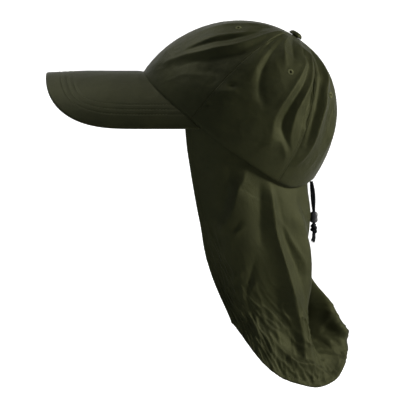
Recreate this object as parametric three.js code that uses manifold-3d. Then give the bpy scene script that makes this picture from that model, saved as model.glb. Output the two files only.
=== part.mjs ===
// Legionnaire cap: a soft six-panel cap with an arched peak, a long neck flap and a drawcord at the back.
// Millimetres, +Z up, the peak towards -X and the wearer's left towards -Y.
// The origin is the middle of the head opening, where a head holds the cap.
import * as THREE from 'three';
import { mergeVertices } from 'three/addons/utils/BufferGeometryUtils.js';
import Module from 'manifold-3d';

const wasm = await Module();
wasm.setup();

// Cloth and clearances
const clothThickness = 1.2;
const seamGap = 0.3;
const pieceGap = 0.35;

// Head opening: its length runs front to back, and it tips down at the back
const openingLength = 191;
const openingWidth = 154;
const openingTilt = 33.1;
const rimDip = 18;

// Crown
const crownHeight = 107;
const apexSetback = 6.5;
const apexHoleRadius = 3.6;
const crownFoldDepth = 4;

// Peak
const peakLength = 92;
const peakThickness = 3;
const peakDroop = 5;
const peakDroopStart = 0.55;
const peakHalfAngle = 78;
const peakSquareness = 3.3;

// Neck flap
const flapReach = 113.5;
const flapHalfWidth = 68;
const flapDrop = 246;
const flapTuck = 6;
const flapFrontAngle = 62;
const flapFoldDepth = 3.2;

// Vent eyelets: a ring with a neck through the cloth
const eyeletRadius = 3.1;
const eyeletBore = 1.1;
const eyeletNeck = 1.9;
const eyeletRise = 0.7;

// Top button
const buttonRadius = 5.6;
const buttonHeight = 4.4;
const buttonShankRadius = 3;

// Drawcord and what is on it
const cordRadius = 1.4;
const lockWidth = 12;
const lockDepth = 7;
const lockHeight = 10.5;
const lockBevel = 0.8;
const knotRadius = 3.1;
const knotHeight = 9.5;
const tailLength = 8.5;
const cordStep = 3.6;

// Grid fineness of the cloth walls
const panelColumns = 11;
const panelRows = 14;
const peakColumns = 26;
const peakRows = 6;
const flapColumns = 44;
const flapRows = 23;

const DEG = Math.PI / 180;
const quarterTurn = 90;

const look = {
  cloth: { color: 0x2c2e1f, roughness: 0.62, metalness: 0 },
  cord: { color: 0x14151f, roughness: 0.75, metalness: 0 },
  lock: { color: 0x4a4a55, roughness: 0.35, metalness: 0 },
};

// The rim's height round the opening, as a share of rimDip. The angle goes from the front, 0, to the back, 180.
const rimLine = [
  { angle: -37, rise: -0.41 },
  { angle: 0, rise: -0.04 },
  { angle: 37, rise: -0.41 },
  { angle: 57, rise: -0.6 },
  { angle: 78, rise: -0.8 },
  { angle: 97, rise: -0.95 },
  { angle: 123, rise: -1 },
  { angle: 135, rise: -0.96 },
  { angle: 148, rise: -0.82 },
  { angle: 159, rise: -0.49 },
  { angle: 173, rise: 0.05 },
  { angle: 180, rise: 0.09 },
  { angle: 187, rise: 0.05 },
];

// How square the crown's profile is, round the opening: 2 is an ellipse
const crownProfile = [
  { angle: 0, power: 1.95 },
  { angle: 70, power: 2.1 },
  { angle: 135, power: 2.25 },
  { angle: 180, power: 2.25 },
];

// Seams between the panels: their angle at the rim and at the top
const seams = {
  front: { rim: 0, top: 0 },
  frontSide: { rim: 70, top: 77 },
  backSide: { rim: 135, top: 137 },
  back: { rim: 180, top: 180 },
};

// The angle of a seam at a height share
const seamAngle = (seam, height) => seam.rim + (seam.top - seam.rim) * height;

// The eyelets sit in the middle of the panels, at this height share
const eyeletHeight = 0.55;
const eyeletAngles = [
  (seamAngle(seams.front, eyeletHeight) + seamAngle(seams.frontSide, eyeletHeight)) / 2,
  (seamAngle(seams.frontSide, eyeletHeight) + seamAngle(seams.backSide, eyeletHeight)) / 2,
  (seamAngle(seams.backSide, eyeletHeight) + seamAngle(seams.back, eyeletHeight)) / 2,
];

// Long soft folds of the crown, each from one end to the other: angle round the opening and share of the height
// from rim to top. spread is the half-width as a share of a quarter turn, and depth is a share of crownFoldDepth.
// A valley has a negative depth.
const crownFolds = [
  { fold: 'front ridge', from: [28, 0.19], to: [61, 0.76], spread: 0.07, depth: 0.55 },
  { fold: 'front hollow', from: [46, 0.22], to: [70, 0.42], spread: 0.11, depth: -0.75 },
  { fold: 'side ridge', from: [84, 0.76], to: [79, 0.36], spread: 0.06, depth: 0.45 },
  { fold: 'side valley', from: [87, 0.72], to: [94, 0.28], spread: 0.07, depth: -0.75 },
  { fold: 'back ridge of the side', from: [121, 0.7], to: [112, 0.17], spread: 0.06, depth: 0.7 },
  { fold: 'hollow by the back seam', from: [124, 0.46], to: [129, 0.16], spread: 0.07, depth: -0.8 },
  { fold: 'back panel ridge', from: [164, 0.7], to: [145, 0.18], spread: 0.06, depth: 0.6 },
];

// The folds fade out towards the rim and the button, at these height shares, and round an eyelet
const foldFade = { rimStart: 0.02, rimFull: 0.14, topFull: 0.8, topEnd: 0.93 };
const eyeletCalm = 0.1;

// The neck flap's fold lines, from its back middle to its front edge. across is the place on the sheet, rimAngle is
// measured from the back, and back and side are where the line lies at a quarter, a half, three quarters and all of
// its length, as shares of flapReach and flapHalfWidth. hem is its lower end, as a share of flapDrop.
const flapLines = [
  { line: 'back middle', across: 0, rimAngle: 0, back: [0.683, 0.696, 0.811, 1], side: [0, 0, 0, 0], hem: 0.862 },
  { line: 'valley', across: 0.127, rimAngle: 15, back: [0.67, 0.652, 0.6, 0.965],
    side: [0.25, 0.206, 0.2, 0.27], hem: 0.915 },
  { line: 'turn', across: 0.254, rimAngle: 30, back: [0.634, 0.692, 0.665, 0.865],
    side: [0.485, 0.441, 0.47, 0.5], hem: 0.978 },
  { line: 'ridge', across: 0.4, rimAngle: 47, back: [0.423, 0.533, 0.661, 0.705],
    side: [0.735, 0.69, 0.65, 0.72], hem: 1 },
  { line: 'side', across: 0.68, rimAngle: 80, back: [0.07, 0.123, 0.211, 0.356],
    side: [1.03, 0.96, 0.9, 0.9], hem: 0.935 },
  { line: 'front edge', across: 1, rimAngle: 180 - flapFrontAngle, back: [-0.317, -0.242, -0.137, 0.046],
    side: [0.912, 0.853, 0.794, 0.75], hem: 0.749 },
];

// Softer folds of the flap, each from one end to the other: place across the sheet, with the wearer's left positive,
// and share of the way down. Depths are shares of flapFoldDepth.
const flapFolds = [
  { fold: 'left side ridge', from: [0.62, 0.05], to: [0.86, 0.42], spread: 0.06, depth: 0.9 },
  { fold: 'left side hollow', from: [0.53, 0.1], to: [0.58, 0.72], spread: 0.08, depth: -1 },
  { fold: 'left front swell', from: [0.9, 0.4], to: [0.76, 0.9], spread: 0.05, depth: 0.6 },
  { fold: 'left low crease', from: [0.6, 0.84], to: [0.34, 0.91], spread: 0.045, depth: 0.9 },
  { fold: 'right side ridge', from: [-0.58, 0.05], to: [-0.8, 0.5], spread: 0.06, depth: 0.8 },
  { fold: 'right side hollow', from: [-0.5, 0.15], to: [-0.56, 0.78], spread: 0.08, depth: -0.9 },
  { fold: 'right front swell', from: [-0.92, 0.3], to: [-0.8, 0.85], spread: 0.05, depth: 0.6 },
  { fold: 'right low crease', from: [-0.62, 0.8], to: [-0.4, 0.92], spread: 0.045, depth: 0.7 },
];

// The drawcord's route, chosen by hand: the left strand, from the rim down through the lock into the knot.
// The right strand has its own list because it hangs closer to the cap.
const leftStrand = [
  [79.8, -4.2, -51.9], [80.7, -4.6, -56], [81.8, -4.6, -62], [82.2, -4.2, -68], [82.1, -3.5, -74],
  [82, -2.8, -79], [82, -2.5, -84], [82, -2.5, -91.6],
];
const rightStrand = [
  [79.6, 4.2, -51.9], [79.7, 4.6, -56], [80.1, 4.6, -62], [80.5, 4.2, -68], [81.1, 3.5, -74],
  [81.8, 2.8, -79], [82, 2.5, -84], [82, 2.5, -91.6],
];

// Smooth value between the rows of a table, with the slopes of a cubic through its neighbours
function smoothBetween(places, values, place) {
  const last = places.length - 1;
  let i = 0;
  while (i < last - 1 && place > places[i + 1]) i += 1;
  const slope = (k) => {
    const low = Math.max(0, k - 1);
    const high = Math.min(last, k + 1);
    return (values[high] - values[low]) / (places[high] - places[low]);
  };
  const width = places[i + 1] - places[i];
  const t = THREE.MathUtils.clamp((place - places[i]) / width, 0, 1);
  const h = t * t * (3 - 2 * t);
  const start = slope(i) * width * t * (1 - t) * (1 - t);
  const end = slope(i + 1) * width * t * t * (t - 1);
  return values[i] * (1 - h) + values[i + 1] * h + start + end;
}

const smoothStep = (low, high, x) => THREE.MathUtils.smoothstep(x, low, high);

// From the opening's own frame, along, across and up, to the standing frame
function standing(along, across, up) {
  const c = Math.cos(openingTilt * DEG);
  const s = Math.sin(openingTilt * DEG);
  return new THREE.Vector3(along * c + up * s, across, -along * s + up * c);
}

// The angle from the front, 0 to 180, on either side
const foldedAngle = (angle) => Math.abs(((angle + 180) % 360 + 360) % 360 - 180);

function rimHeight(angle) {
  return rimDip * smoothBetween(rimLine.map((r) => r.angle), rimLine.map((r) => r.rise), foldedAngle(angle));
}

// A point on the rim, moved inwards and up by the given lengths, in the opening's frame.
// The angle goes from the front round the left side, which is -Y.
function rimPoint(angle, inset, raise) {
  const a = angle * DEG;
  return new THREE.Vector3(
    -(openingLength / 2 - inset) * Math.cos(a),
    -(openingWidth / 2 - inset) * Math.sin(a),
    rimHeight(angle) + raise,
  );
}

// What a table of folds adds up to at (x, y). unit turns the first number of a fold's end into x.
function foldSum(folds, x, y, unit) {
  let sum = 0;
  for (const { from, to, spread, depth } of folds) {
    const dx = (to[0] - from[0]) / unit;
    const dy = to[1] - from[1];
    const awayX = x - from[0] / unit;
    const awayY = y - from[1];
    const t = THREE.MathUtils.clamp((awayX * dx + awayY * dy) / (dx * dx + dy * dy), 0, 1);
    const taper = Math.sin(Math.PI * (0.12 + 0.76 * t));
    sum += depth * taper * Math.exp(-((Math.hypot(awayX - t * dx, awayY - t * dy) / spread) ** 2));
  }
  return sum;
}

// How deep the crown's soft folds are at an angle and height share. The cloth is flat round an eyelet.
function foldHeight(angle, height) {
  const at = foldedAngle(angle);
  const sum = foldSum(crownFolds, at / quarterTurn, height, quarterTurn);
  let flat = 1;
  for (const middle of eyeletAngles) {
    const away = Math.hypot((at - middle) / quarterTurn, height - eyeletHeight);
    flat -= Math.exp(-((away / eyeletCalm) ** 2));
  }
  const fade = smoothStep(foldFade.rimStart, foldFade.rimFull, height)
    * (1 - smoothStep(foldFade.topFull, foldFade.topEnd, height));
  return crownFoldDepth * sum * Math.max(flat, 0) * fade;
}

// The crown without its folds, in the opening's frame
function plainCrown(angle, height) {
  const power = smoothBetween(crownProfile.map((r) => r.angle), crownProfile.map((r) => r.power), foldedAngle(angle));
  const turn = height * 90 * DEG;
  const out = Math.max(Math.cos(turn), 0) ** (2 / power);
  const rise = Math.sin(turn) ** (2 / power);
  const low = rimHeight(angle);
  return new THREE.Vector3(
    -(openingLength / 2) * Math.cos(angle * DEG) * out + apexSetback * (1 - out),
    -(openingWidth / 2) * Math.sin(angle * DEG) * out,
    low + (crownHeight - low) * rise,
  );
}

// The outward direction of a surface at (u, v), from two short steps along it
function outwardOf(surface, u, v, stepU, stepV) {
  const alongU = surface(u + stepU, v).sub(surface(u - stepU, v));
  const alongV = surface(u, v + stepV).sub(surface(u, v - stepV));
  return alongU.cross(alongV).normalize();
}

function crownOutward(angle, height) {
  return outwardOf(plainCrown, angle, THREE.MathUtils.clamp(height, 0.01, 0.985), 0.5, 0.005);
}

function crownSurface(angle, height) {
  return plainCrown(angle, height).addScaledVector(crownOutward(angle, height), foldHeight(angle, height));
}

// A closed cloth wall over a grid of u and v from 0 to 1. outside(u, v) gives the outer face, and the wall goes
// from there against inward(u, v), a vector as long as the wall is thick.
function clothWall(outside, inward, columns, rows) {
  const positions = [];
  const index = [];
  const wide = columns + 1;
  const layer = wide * (rows + 1);
  for (const side of [0, 1]) {
    for (let j = 0; j <= rows; j += 1) {
      for (let i = 0; i <= columns; i += 1) {
        const point = outside(i / columns, j / rows);
        if (side === 1) point.add(inward(i / columns, j / rows));
        positions.push(point.x, point.y, point.z);
      }
    }
  }
  const quad = (a, b, c, d) => index.push(a, b, c, a, c, d);
  for (let j = 0; j < rows; j += 1) {
    for (let i = 0; i < columns; i += 1) {
      const a = j * wide + i;
      quad(a, a + 1, a + wide + 1, a + wide);
      quad(layer + a, layer + a + wide, layer + a + wide + 1, layer + a + 1);
    }
  }
  for (let i = 0; i < columns; i += 1) {
    const top = rows * wide + i;
    quad(layer + i, layer + i + 1, i + 1, i);
    quad(top, top + 1, layer + top + 1, layer + top);
  }
  for (let j = 0; j < rows; j += 1) {
    const left = j * wide;
    const right = left + columns;
    quad(left, left + wide, layer + left + wide, layer + left);
    quad(layer + right, layer + right + wide, right + wide, right);
  }
  const geometry = new THREE.BufferGeometry();
  geometry.setAttribute('position', new THREE.Float32BufferAttribute(positions, 3));
  geometry.setIndex(index);
  return facingOut(geometry);
}

// Turns every triangle round if the closed shape has its faces inwards
function facingOut(geometry) {
  const at = geometry.attributes.position;
  const index = geometry.index.array;
  const corner = (k) => new THREE.Vector3().fromBufferAttribute(at, index[k]);
  let volume = 0;
  for (let k = 0; k < index.length; k += 3) {
    volume += corner(k).dot(corner(k + 1).cross(corner(k + 2)));
  }
  if (volume < 0) {
    for (let k = 0; k < index.length; k += 3) {
      [index[k + 1], index[k + 2]] = [index[k + 2], index[k + 1]];
    }
  }
  return geometry;
}

// Solids for the boolean cuts, and back
function toSolid(geometry, matrix) {
  const bare = geometry.clone();
  bare.deleteAttribute('normal');
  bare.deleteAttribute('uv');
  if (matrix) bare.applyMatrix4(matrix);
  const merged = mergeVertices(bare);
  return new wasm.Manifold(new wasm.Mesh({
    numProp: 3,
    vertProperties: new Float32Array(merged.attributes.position.array),
    triVerts: new Uint32Array(merged.index.array),
  }));
}

function toGeometry(solid) {
  const mesh = solid.getMesh();
  const geometry = new THREE.BufferGeometry();
  geometry.setAttribute('position', new THREE.BufferAttribute(new Float32Array(mesh.vertProperties), 3));
  geometry.setIndex(new THREE.BufferAttribute(new Uint32Array(mesh.triVerts), 1));
  return geometry;
}

function piece(name, geometry, finish) {
  const mesh = new THREE.Mesh(geometry, new THREE.MeshStandardMaterial(look[finish]));
  mesh.name = name;
  return mesh;
}

// The highest height share of the panels: there the crown is apexHoleRadius from its middle
const panelTop = 2 / Math.PI * Math.acos((apexHoleRadius / (openingWidth / 2)) ** (crownProfile[1].power / 2));

// A panel's edge keeps half the seam gap to the seam's line
function panelAngle(firstSeam, lastSeam, across, height) {
  const first = seamAngle(firstSeam, height);
  const last = seamAngle(lastSeam, height);
  const degreesPerMm = (angle) => 1 / plainCrown(angle + 0.5, height).distanceTo(plainCrown(angle - 0.5, height));
  const low = first + seamGap / 2 * degreesPerMm(first);
  const high = last - seamGap / 2 * degreesPerMm(last);
  return low + (high - low) * across;
}

// The place and the outward direction of the eyelet in the middle of a panel
function eyeletSeat(middle, sign) {
  const angle = sign * middle;
  const out = outwardOf(crownSurface, angle, eyeletHeight, 3, 0.03);
  const matrix = new THREE.Matrix4().makeRotationFromQuaternion(
    new THREE.Quaternion().setFromUnitVectors(new THREE.Vector3(0, 1, 0), out),
  );
  return matrix.setPosition(crownSurface(angle, eyeletHeight));
}

// One crown panel with its vent hole. sign is 1 on the wearer's left and -1 on the right.
function crownPanel(firstSeam, lastSeam, middle, sign) {
  const outside = (u, v) => crownSurface(sign * panelAngle(firstSeam, lastSeam, u, v * panelTop), v * panelTop);
  const inward = (u, v) => crownOutward(sign * panelAngle(firstSeam, lastSeam, u, v * panelTop), v * panelTop)
    .multiplyScalar(-clothThickness);
  const wall = clothWall(outside, inward, panelColumns, panelRows);
  const punch = new THREE.CylinderGeometry(eyeletNeck + pieceGap, eyeletNeck + pieceGap, clothThickness * 8, 10);
  const hole = toSolid(punch, eyeletSeat(middle, sign));
  return toGeometry(toSolid(wall).subtract(hole));
}

// A vent eyelet: a sewn ring that stands a little proud, with a neck through the cloth
function eyeletRing() {
  const under = pieceGap;
  const profile = [
    [eyeletBore, -clothThickness],
    [eyeletNeck, -clothThickness],
    [eyeletNeck, under],
    [eyeletRadius, under],
    [eyeletRadius, under + eyeletRise * 0.5],
    [(eyeletRadius + eyeletBore) / 2, under + eyeletRise],
    [eyeletBore, under + eyeletRise * 0.5],
    [eyeletBore, -clothThickness],
  ].map(([radius, height]) => new THREE.Vector2(radius, height));
  return new THREE.LatheGeometry(profile, 10);
}

function topButton() {
  const base = pieceGap;
  const profile = [[0, -clothThickness], [buttonShankRadius, -clothThickness], [buttonShankRadius, base]];
  const domeSteps = 5;
  for (let i = 0; i <= domeSteps; i += 1) {
    const turn = i / domeSteps * Math.PI / 2;
    profile.push([buttonRadius * Math.cos(turn) ** 0.7, base + buttonHeight * Math.sin(turn) ** 0.9]);
  }
  profile[profile.length - 1][0] = 0;
  const geometry = new THREE.LatheGeometry(profile.map(([r, h]) => new THREE.Vector2(r, h)), 14);
  return geometry.rotateX(Math.PI / 2);
}

// The peak: straight lines run forward from the rim, so it arches as the rim does
function peakGeometry() {
  const angleAt = (u) => peakHalfAngle * Math.sin((2 * u - 1) * Math.PI / 2);
  const rear = (angle) => standing(...rimPoint(angle, clothThickness / 2, -pieceGap).toArray());
  const archTo = (angle) => {
    const steps = 12;
    let length = 0;
    for (let i = 0; i < steps; i += 1) {
      const a = rear(angle * i / steps);
      const b = rear(angle * (i + 1) / steps);
      length += Math.hypot(b.y - a.y, b.z - a.z);
    }
    return length;
  };
  const wholeArch = archTo(peakHalfAngle);
  const rimFront = rear(0).x;
  const front = (angle) => {
    const share = Math.min(archTo(angle) / wholeArch, 1);
    return rimFront - peakLength * (1 - share ** peakSquareness) ** (1 / peakSquareness);
  };
  const sheet = (u, v) => {
    const angle = angleAt(THREE.MathUtils.clamp(u, 0, 1));
    const point = rear(angle);
    point.x = THREE.MathUtils.lerp(point.x, front(angle), v);
    const out = Math.max(0, (rimFront - point.x) / peakLength);
    point.z -= peakDroop * Math.max(0, (out - peakDroopStart) / (1 - peakDroopStart)) ** 2;
    return point;
  };
  const inward = (u, v) => {
    const angle = angleAt(THREE.MathUtils.clamp(u, 0.02, 0.98));
    const side = rear(angle + 0.5).sub(rear(angle - 0.5));
    const normal = new THREE.Vector3(0, side.z, -side.y).normalize();
    if (normal.z > 0) normal.negate();
    return normal.multiplyScalar(peakThickness * (1 - 0.35 * smoothStep(0.9, 1, v)));
  };
  return clothWall(sheet, inward, peakColumns, peakRows);
}

// The flap hangs inside the rim, clear of the peak's ends at the front, close to the crown behind them and
// clear of the drawcord at the back
function flapInset(angleFromFront) {
  const behindPeak = smoothStep(peakHalfAngle + 2, peakHalfAngle + 14, angleFromFront);
  const byCord = smoothStep(150, 172, angleFromFront);
  const besideIt = THREE.MathUtils.lerp(peakThickness, clothThickness, behindPeak) + pieceGap;
  return besideIt + byCord * cordRadius;
}

function flapTable(column) {
  const mirrored = flapLines.slice(1).reverse();
  return [...mirrored.map((row) => -column(row)), ...flapLines.map(column)];
}

const flapPlaces = flapTable((row) => row.across);
const flapAngles = flapTable((row) => row.rimAngle);
const evenTable = (column) => [...flapLines.slice(1).reverse().map(column), ...flapLines.map(column)];

// A point of the flap: across from -1, the right front edge, to 1, the left one, and down from 0 to 1
function flapPoint(across, down) {
  const angle = 180 - smoothBetween(flapPlaces, flapAngles, across);
  const inset = flapInset(foldedAngle(angle));
  const top = standing(...rimPoint(angle, inset, -pieceGap).toArray());
  const stations = [0, 0.25, 0.5, 0.75, 1];
  const backs = [top.x];
  const sides = [top.y];
  for (let k = 0; k < 4; k += 1) {
    backs.push(flapReach * smoothBetween(flapPlaces, evenTable((row) => row.back[k]), across));
    sides.push(-flapHalfWidth * smoothBetween(flapPlaces, flapTable((row) => row.side[k]), across));
  }
  const hem = -flapDrop * smoothBetween(flapPlaces, evenTable((row) => row.hem), across);
  if (down < 0) return standing(...rimPoint(angle, inset, -pieceGap - down * flapTuck).toArray());
  return new THREE.Vector3(
    smoothBetween(stations, backs, down),
    smoothBetween(stations, sides, down),
    THREE.MathUtils.lerp(top.z, hem, down),
  );
}

function flapOutward(across, down) {
  const inside = (x, low) => THREE.MathUtils.clamp(x, low, 0.99);
  return outwardOf(flapPoint, inside(across, -0.99), inside(down, 0.01), 0.01, 0.01);
}

function flapSurface(across, down) {
  const fold = flapFoldDepth * foldSum(flapFolds, across, down, 1) * smoothStep(0.02, 0.12, down);
  return flapPoint(across, down).addScaledVector(flapOutward(across, down), fold);
}

function flapGeometry() {
  const tuckRows = 1 / flapRows;
  const downAt = (v) => (v < tuckRows ? v / tuckRows - 1 : (v - tuckRows) / (1 - tuckRows));
  const outside = (u, v) => flapSurface(2 * u - 1, downAt(v));
  const inward = (u, v) => flapOutward(2 * u - 1, downAt(v)).multiplyScalar(-clothThickness);
  return clothWall(outside, inward, flapColumns, flapRows);
}

// A round cord along a hand-chosen route
function cordTube(route) {
  const curve = new THREE.CatmullRomCurve3(route.map((p) => new THREE.Vector3(...p)), false, 'centripetal');
  const section = new THREE.Shape();
  const sides = 8;
  for (let i = 0; i < sides; i += 1) {
    const turn = i / sides * 2 * Math.PI;
    const x = cordRadius * Math.cos(turn);
    const y = cordRadius * Math.sin(turn);
    if (i === 0) section.moveTo(x, y);
    else section.lineTo(x, y);
  }
  return new THREE.ExtrudeGeometry(section, { steps: Math.round(curve.getLength() / cordStep), extrudePath: curve });
}

// The strands meet the lock at the sixth point of their route and end above the knot
const lockTop = leftStrand[5][2] - 1.5;
const [cordLineX, strandPlace, strandEnd] = leftStrand[7];
const strandSpread = Math.abs(strandPlace);

// The slider: an oval block with two bores for the strands
function cordLock() {
  const outline = new THREE.Shape();
  const straight = lockWidth - lockDepth;
  outline.absarc(0, straight / 2, lockDepth / 2, 0, Math.PI, false);
  outline.absarc(0, -straight / 2, lockDepth / 2, Math.PI, 2 * Math.PI, false);
  outline.closePath();
  const block = new THREE.ExtrudeGeometry(outline, {
    depth: lockHeight - 2 * lockBevel,
    bevelEnabled: true,
    bevelSize: lockBevel,
    bevelThickness: lockBevel,
    bevelOffset: -lockBevel,
    bevelSegments: 1,
    curveSegments: 6,
  });
  let body = toSolid(block.translate(cordLineX, 0, lockTop - lockHeight + lockBevel));
  for (const side of [-1, 1]) {
    const bore = new THREE.CylinderGeometry(cordRadius + pieceGap, cordRadius + pieceGap, lockHeight * 2, 12);
    bore.rotateX(Math.PI / 2).translate(cordLineX, side * strandSpread, lockTop - lockHeight / 2);
    body = body.subtract(toSolid(bore));
  }
  return toGeometry(body);
}

// The knot: a plump bead of tied cord with a waist
function cordKnot() {
  const profile = [[0, 0]];
  const steps = 8;
  for (let i = 1; i < steps; i += 1) {
    const turn = i / steps * Math.PI;
    const waist = 1 - 0.16 * Math.exp(-(((i / steps - 0.5) / 0.16) ** 2));
    profile.push([knotRadius * Math.sin(turn) ** 0.6 * waist, knotHeight * (1 - Math.cos(turn)) / 2]);
  }
  profile.push([0, knotHeight]);
  const geometry = new THREE.LatheGeometry(profile.map(([r, h]) => new THREE.Vector2(r, h)), 14);
  return geometry.rotateX(Math.PI / 2).translate(cordLineX, 0, strandEnd - pieceGap - knotHeight);
}

function cordTail() {
  const top = strandEnd - 2 * pieceGap - knotHeight;
  const geometry = new THREE.CylinderGeometry(cordRadius * 1.15, cordRadius * 0.95, tailLength, 10, 2);
  return geometry.rotateX(Math.PI / 2).translate(cordLineX, 0, top - tailLength / 2);
}

const cap = new THREE.Group();
const crown = new THREE.Group();
crown.rotation.y = openingTilt * DEG;
cap.add(crown);

const panels = [
  { place: 'front', first: seams.front, last: seams.frontSide, middle: eyeletAngles[0] },
  { place: 'side', first: seams.frontSide, last: seams.backSide, middle: eyeletAngles[1] },
  { place: 'back', first: seams.backSide, last: seams.back, middle: eyeletAngles[2] },
];
for (const { place, first, last, middle } of panels) {
  for (const { hand, sign } of [{ hand: 'left', sign: 1 }, { hand: 'right', sign: -1 }]) {
    crown.add(piece(`crown_${place}_${hand}`, crownPanel(first, last, middle, sign), 'cloth'));
    const eyelet = piece(`eyelet_${place}_${hand}`, eyeletRing(), 'cloth');
    eyelet.applyMatrix4(eyeletSeat(middle, sign));
    crown.add(eyelet);
  }
}

const button = piece('top_button', topButton(), 'cloth');
button.position.set(apexSetback, 0, crownHeight);
crown.add(button);

cap.add(piece('peak', peakGeometry(), 'cloth'));
cap.add(piece('neck_flap', flapGeometry(), 'cloth'));
cap.add(piece('drawcord_left', cordTube(leftStrand), 'cord'));
cap.add(piece('drawcord_right', cordTube(rightStrand), 'cord'));
cap.add(piece('cord_lock', cordLock(), 'lock'));
cap.add(piece('cord_knot', cordKnot(), 'cord'));
cap.add(piece('cord_tail', cordTail(), 'cord'));

export default cap;
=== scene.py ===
# Legionnaire cap: the finish of every surface round the fixed frame.
# Lengths are in millimetres until a mesh is made.
import math

import bmesh
import bpy
import numpy as np
from mathutils import Matrix, Vector, noise


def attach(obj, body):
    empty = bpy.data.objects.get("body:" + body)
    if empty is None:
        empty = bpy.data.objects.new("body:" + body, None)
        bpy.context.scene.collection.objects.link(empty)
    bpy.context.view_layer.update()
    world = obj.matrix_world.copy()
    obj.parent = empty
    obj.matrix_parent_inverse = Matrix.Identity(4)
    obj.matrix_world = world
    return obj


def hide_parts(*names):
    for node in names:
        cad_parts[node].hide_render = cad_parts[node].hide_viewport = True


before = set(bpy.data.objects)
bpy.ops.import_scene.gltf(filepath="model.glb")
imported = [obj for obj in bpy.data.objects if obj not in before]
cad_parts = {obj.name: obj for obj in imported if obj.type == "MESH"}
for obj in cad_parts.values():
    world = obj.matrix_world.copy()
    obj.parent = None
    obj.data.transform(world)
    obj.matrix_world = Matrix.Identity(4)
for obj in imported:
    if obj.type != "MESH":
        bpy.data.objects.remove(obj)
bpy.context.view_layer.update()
mm = 0.001
scene = bpy.context.scene


# The photo's view: from the wearer's left, almost level, with a long lens
view = {
    "lookAt": (-26.1, 0, -69.4),  # middle of the picture
    "frameWidth": 380,  # what the picture spans at the cap
    "lens": 400,
    "sensor": 36,
    "elevation": 1.0,
}


def makeCamera():
    data = bpy.data.cameras.new("camera")
    data.lens = view["lens"]
    data.sensor_width = view["sensor"]
    distance = view["frameWidth"] * mm * view["lens"] / view["sensor"]
    tilt = math.radians(view["elevation"])
    away = Vector((0, -math.cos(tilt), math.sin(tilt))) * distance
    camera = bpy.data.objects.new("camera", data)
    camera.location = Vector(view["lookAt"]) * mm + away
    camera.rotation_euler = (math.radians(90) - tilt, 0, 0)
    scene.collection.objects.link(camera)
    scene.camera = camera


makeCamera()
print("stage: camera")


# Colours are sRGB hex, turned linear here
def linear(hexColor):
    parts = [int(hexColor[i:i + 2], 16) / 255 for i in (1, 3, 5)]
    return [c / 12.92 if c <= 0.04045 else ((c + 0.055) / 1.055) ** 2.4 for c in parts] + [1]


def addNode(tree, kind, settings=None, inputs=None):
    node = tree.nodes.new(kind)
    for key, value in (settings or {}).items():
        setattr(node, key, value)
    for key, value in (inputs or {}).items():
        if isinstance(value, bpy.types.NodeSocket):
            tree.links.new(value, node.inputs[key])
        else:
            node.inputs[key].default_value = value
    return node


def newMaterial(name, shader):
    material = bpy.data.materials.new(name)
    material.use_nodes = True
    tree = material.node_tree
    tree.nodes.clear()
    surface = addNode(tree, "ShaderNodeBsdfPrincipled", None, shader)
    addNode(tree, "ShaderNodeOutputMaterial", None, {"Surface": surface.outputs[0]})
    return material, tree, surface


def plug(tree, surface, sockets):
    for name, socket in sockets.items():
        tree.links.new(socket, surface.inputs[name])


def noiseOf(tree, vector, scale, detail, roughness=0.5):
    return addNode(tree, "ShaderNodeTexNoise", None, {
        "Vector": vector, "Scale": scale, "Detail": detail, "Roughness": roughness}).outputs[0]


def mixOf(tree, share, first, second, blend="MIX"):
    return addNode(tree, "ShaderNodeMixRGB", {"blend_type": blend}, {
        0: share, 1: first, 2: second}).outputs[0]


def rangeOf(tree, value, low=0, high=1, toLow=0, toHigh=1, kind="LINEAR"):
    return addNode(tree, "ShaderNodeMapRange", {"interpolation_type": kind}, {
        0: value, 1: low, 2: high, 3: toLow, 4: toHigh}).outputs[0]


def productOf(tree, first, second):
    return addNode(tree, "ShaderNodeMath", {"operation": "MULTIPLY"}, {0: first, 1: second}).outputs[0]


def bumpOf(tree, height, strength, depth, under=None):
    inputs = {"Height": height, "Strength": strength, "Distance": depth}
    if under:
        inputs["Normal"] = under
    return addNode(tree, "ShaderNodeBump", None, inputs).outputs[0]


# Woven nylon: a dull, tightly woven outdoor cloth. Threads show as a faint grid, slubs and clouds vary its
# green, and a low, broad yellow-green shine lies along its folds.
nylon = {
    "light": "#313322",
    "dark": "#292b1e",
    "threadPitch": 0.6,  # real threads are 0.2 mm apart, too fine for the picture
    "roughness": 0.55,
}


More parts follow.
